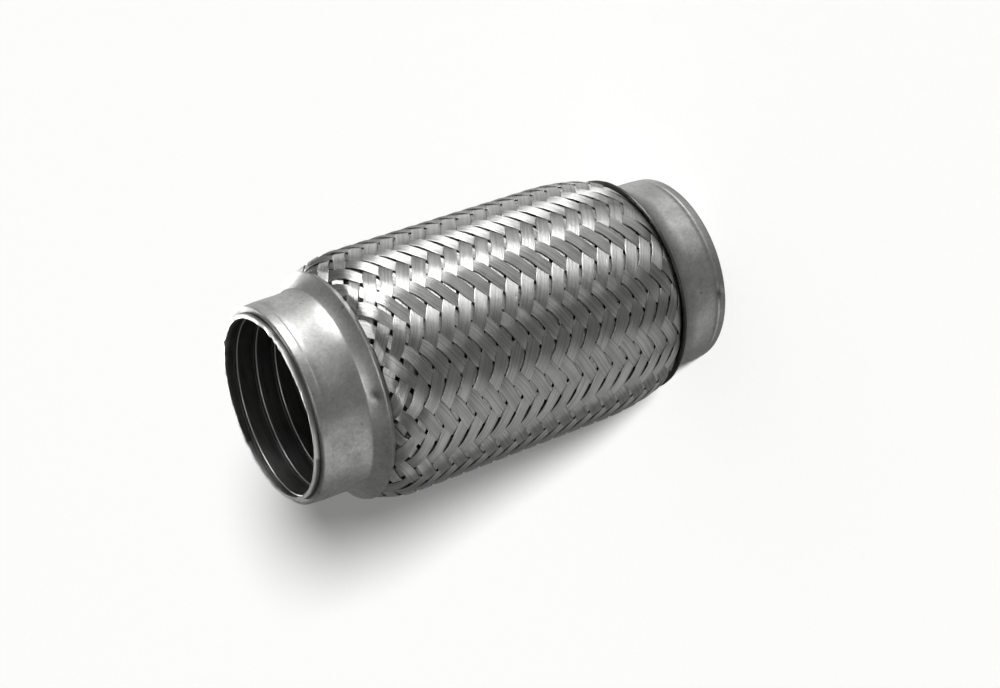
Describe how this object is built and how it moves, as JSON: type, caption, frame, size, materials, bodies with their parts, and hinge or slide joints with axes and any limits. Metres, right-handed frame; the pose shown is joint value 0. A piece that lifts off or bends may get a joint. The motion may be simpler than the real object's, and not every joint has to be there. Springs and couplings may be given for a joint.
{
  "type": "exhaust flex pipe",
  "caption": "Short flexible exhaust coupling: a woven steel sleeve over a corrugated bellows and a strip-wound hose, with a pressed cap and a plain neck at each end.",
  "frame": {"origin": "centre of the rear cap's edge, on the surface that the pipe stands on", "axes": "+Z along the pipe, from the rear mouth to the front mouth; the side that faces the picture's camera is -Y"},
  "size_m": [0.0628, 0.0628, 0.12],
  "materials": {
    "cap_steel": "satin pressed stainless sheet, a little scuffed",
    "braid_wire": "bright drawn stainless wire in flat strands",
    "bellows_steel": "thin bright stainless sheet",
    "hose_strip": "dull stainless strip"
  },
  "bodies": {
    "root": {"front_end_cap": "cap_steel", "rear_end_cap": "cap_steel", "outer_braid": "braid_wire", "bellows": "bellows_steel", "interlock_hose": "hose_strip"}
  },
  "joints": []
}
